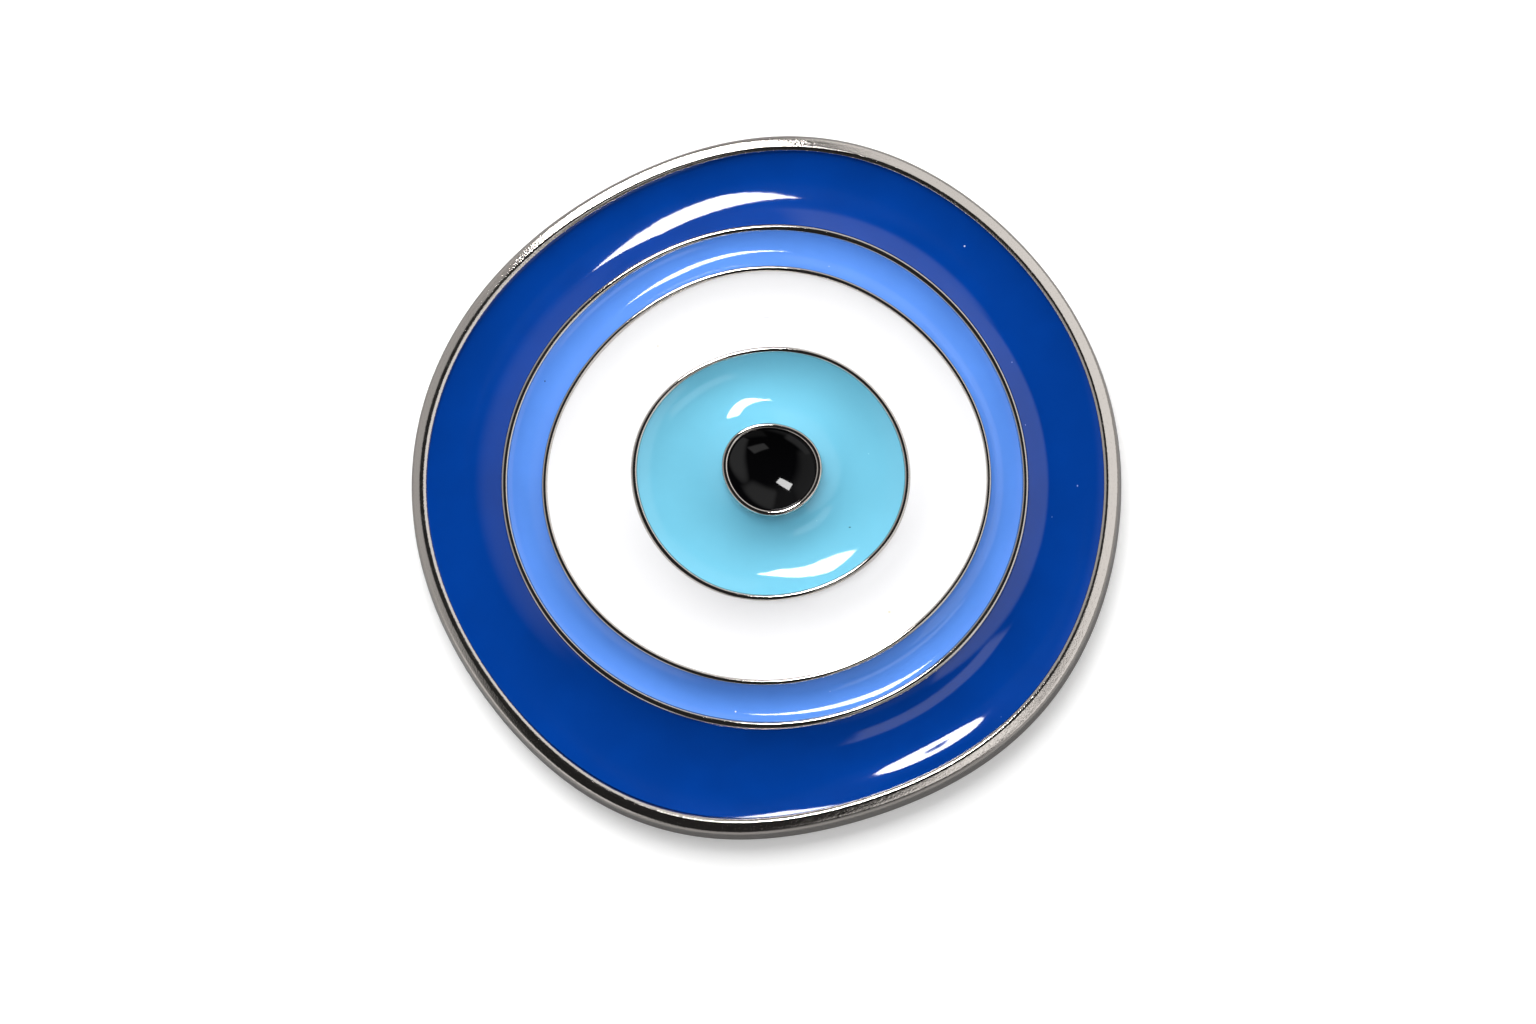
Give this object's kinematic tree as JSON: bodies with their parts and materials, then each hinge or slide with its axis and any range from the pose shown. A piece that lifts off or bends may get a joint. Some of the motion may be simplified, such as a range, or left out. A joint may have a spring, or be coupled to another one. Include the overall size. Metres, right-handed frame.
{
  "type": "evil eye ornament",
  "caption": "Flat souvenir magnet in the form of an eye: hand-drawn round outline, stepped metal rings filled with glossy enamel, magnet in the back.",
  "frame": {"origin": "under the middle of the outline's bounding box, on the plane of the back", "axes": "+Z out of the enamelled front, +Y towards the top of the eye, +X to the viewer's right"},
  "size_m": [0.0604, 0.06, 0.0058],
  "materials": {
    "nickel_plate": "polished nickel plate on a zinc die casting",
    "black_enamel": "glossy soft enamel",
    "turquoise_enamel": "glossy soft enamel",
    "white_enamel": "glossy soft enamel",
    "sky_enamel": "glossy soft enamel",
    "cobalt_enamel": "glossy soft enamel",
    "ferrite": "ground sintered ferrite, matt dark grey",
    "glue": "cured two-part epoxy"
  },
  "bodies": {
    "root": {"casting": "nickel_plate", "pupil_enamel": "black_enamel", "iris_enamel": "turquoise_enamel", "white_enamel": "white_enamel", "sky_enamel": "sky_enamel", "cobalt_enamel": "cobalt_enamel", "magnet": "ferrite", "glue_bed": "glue"}
  },
  "joints": []
}
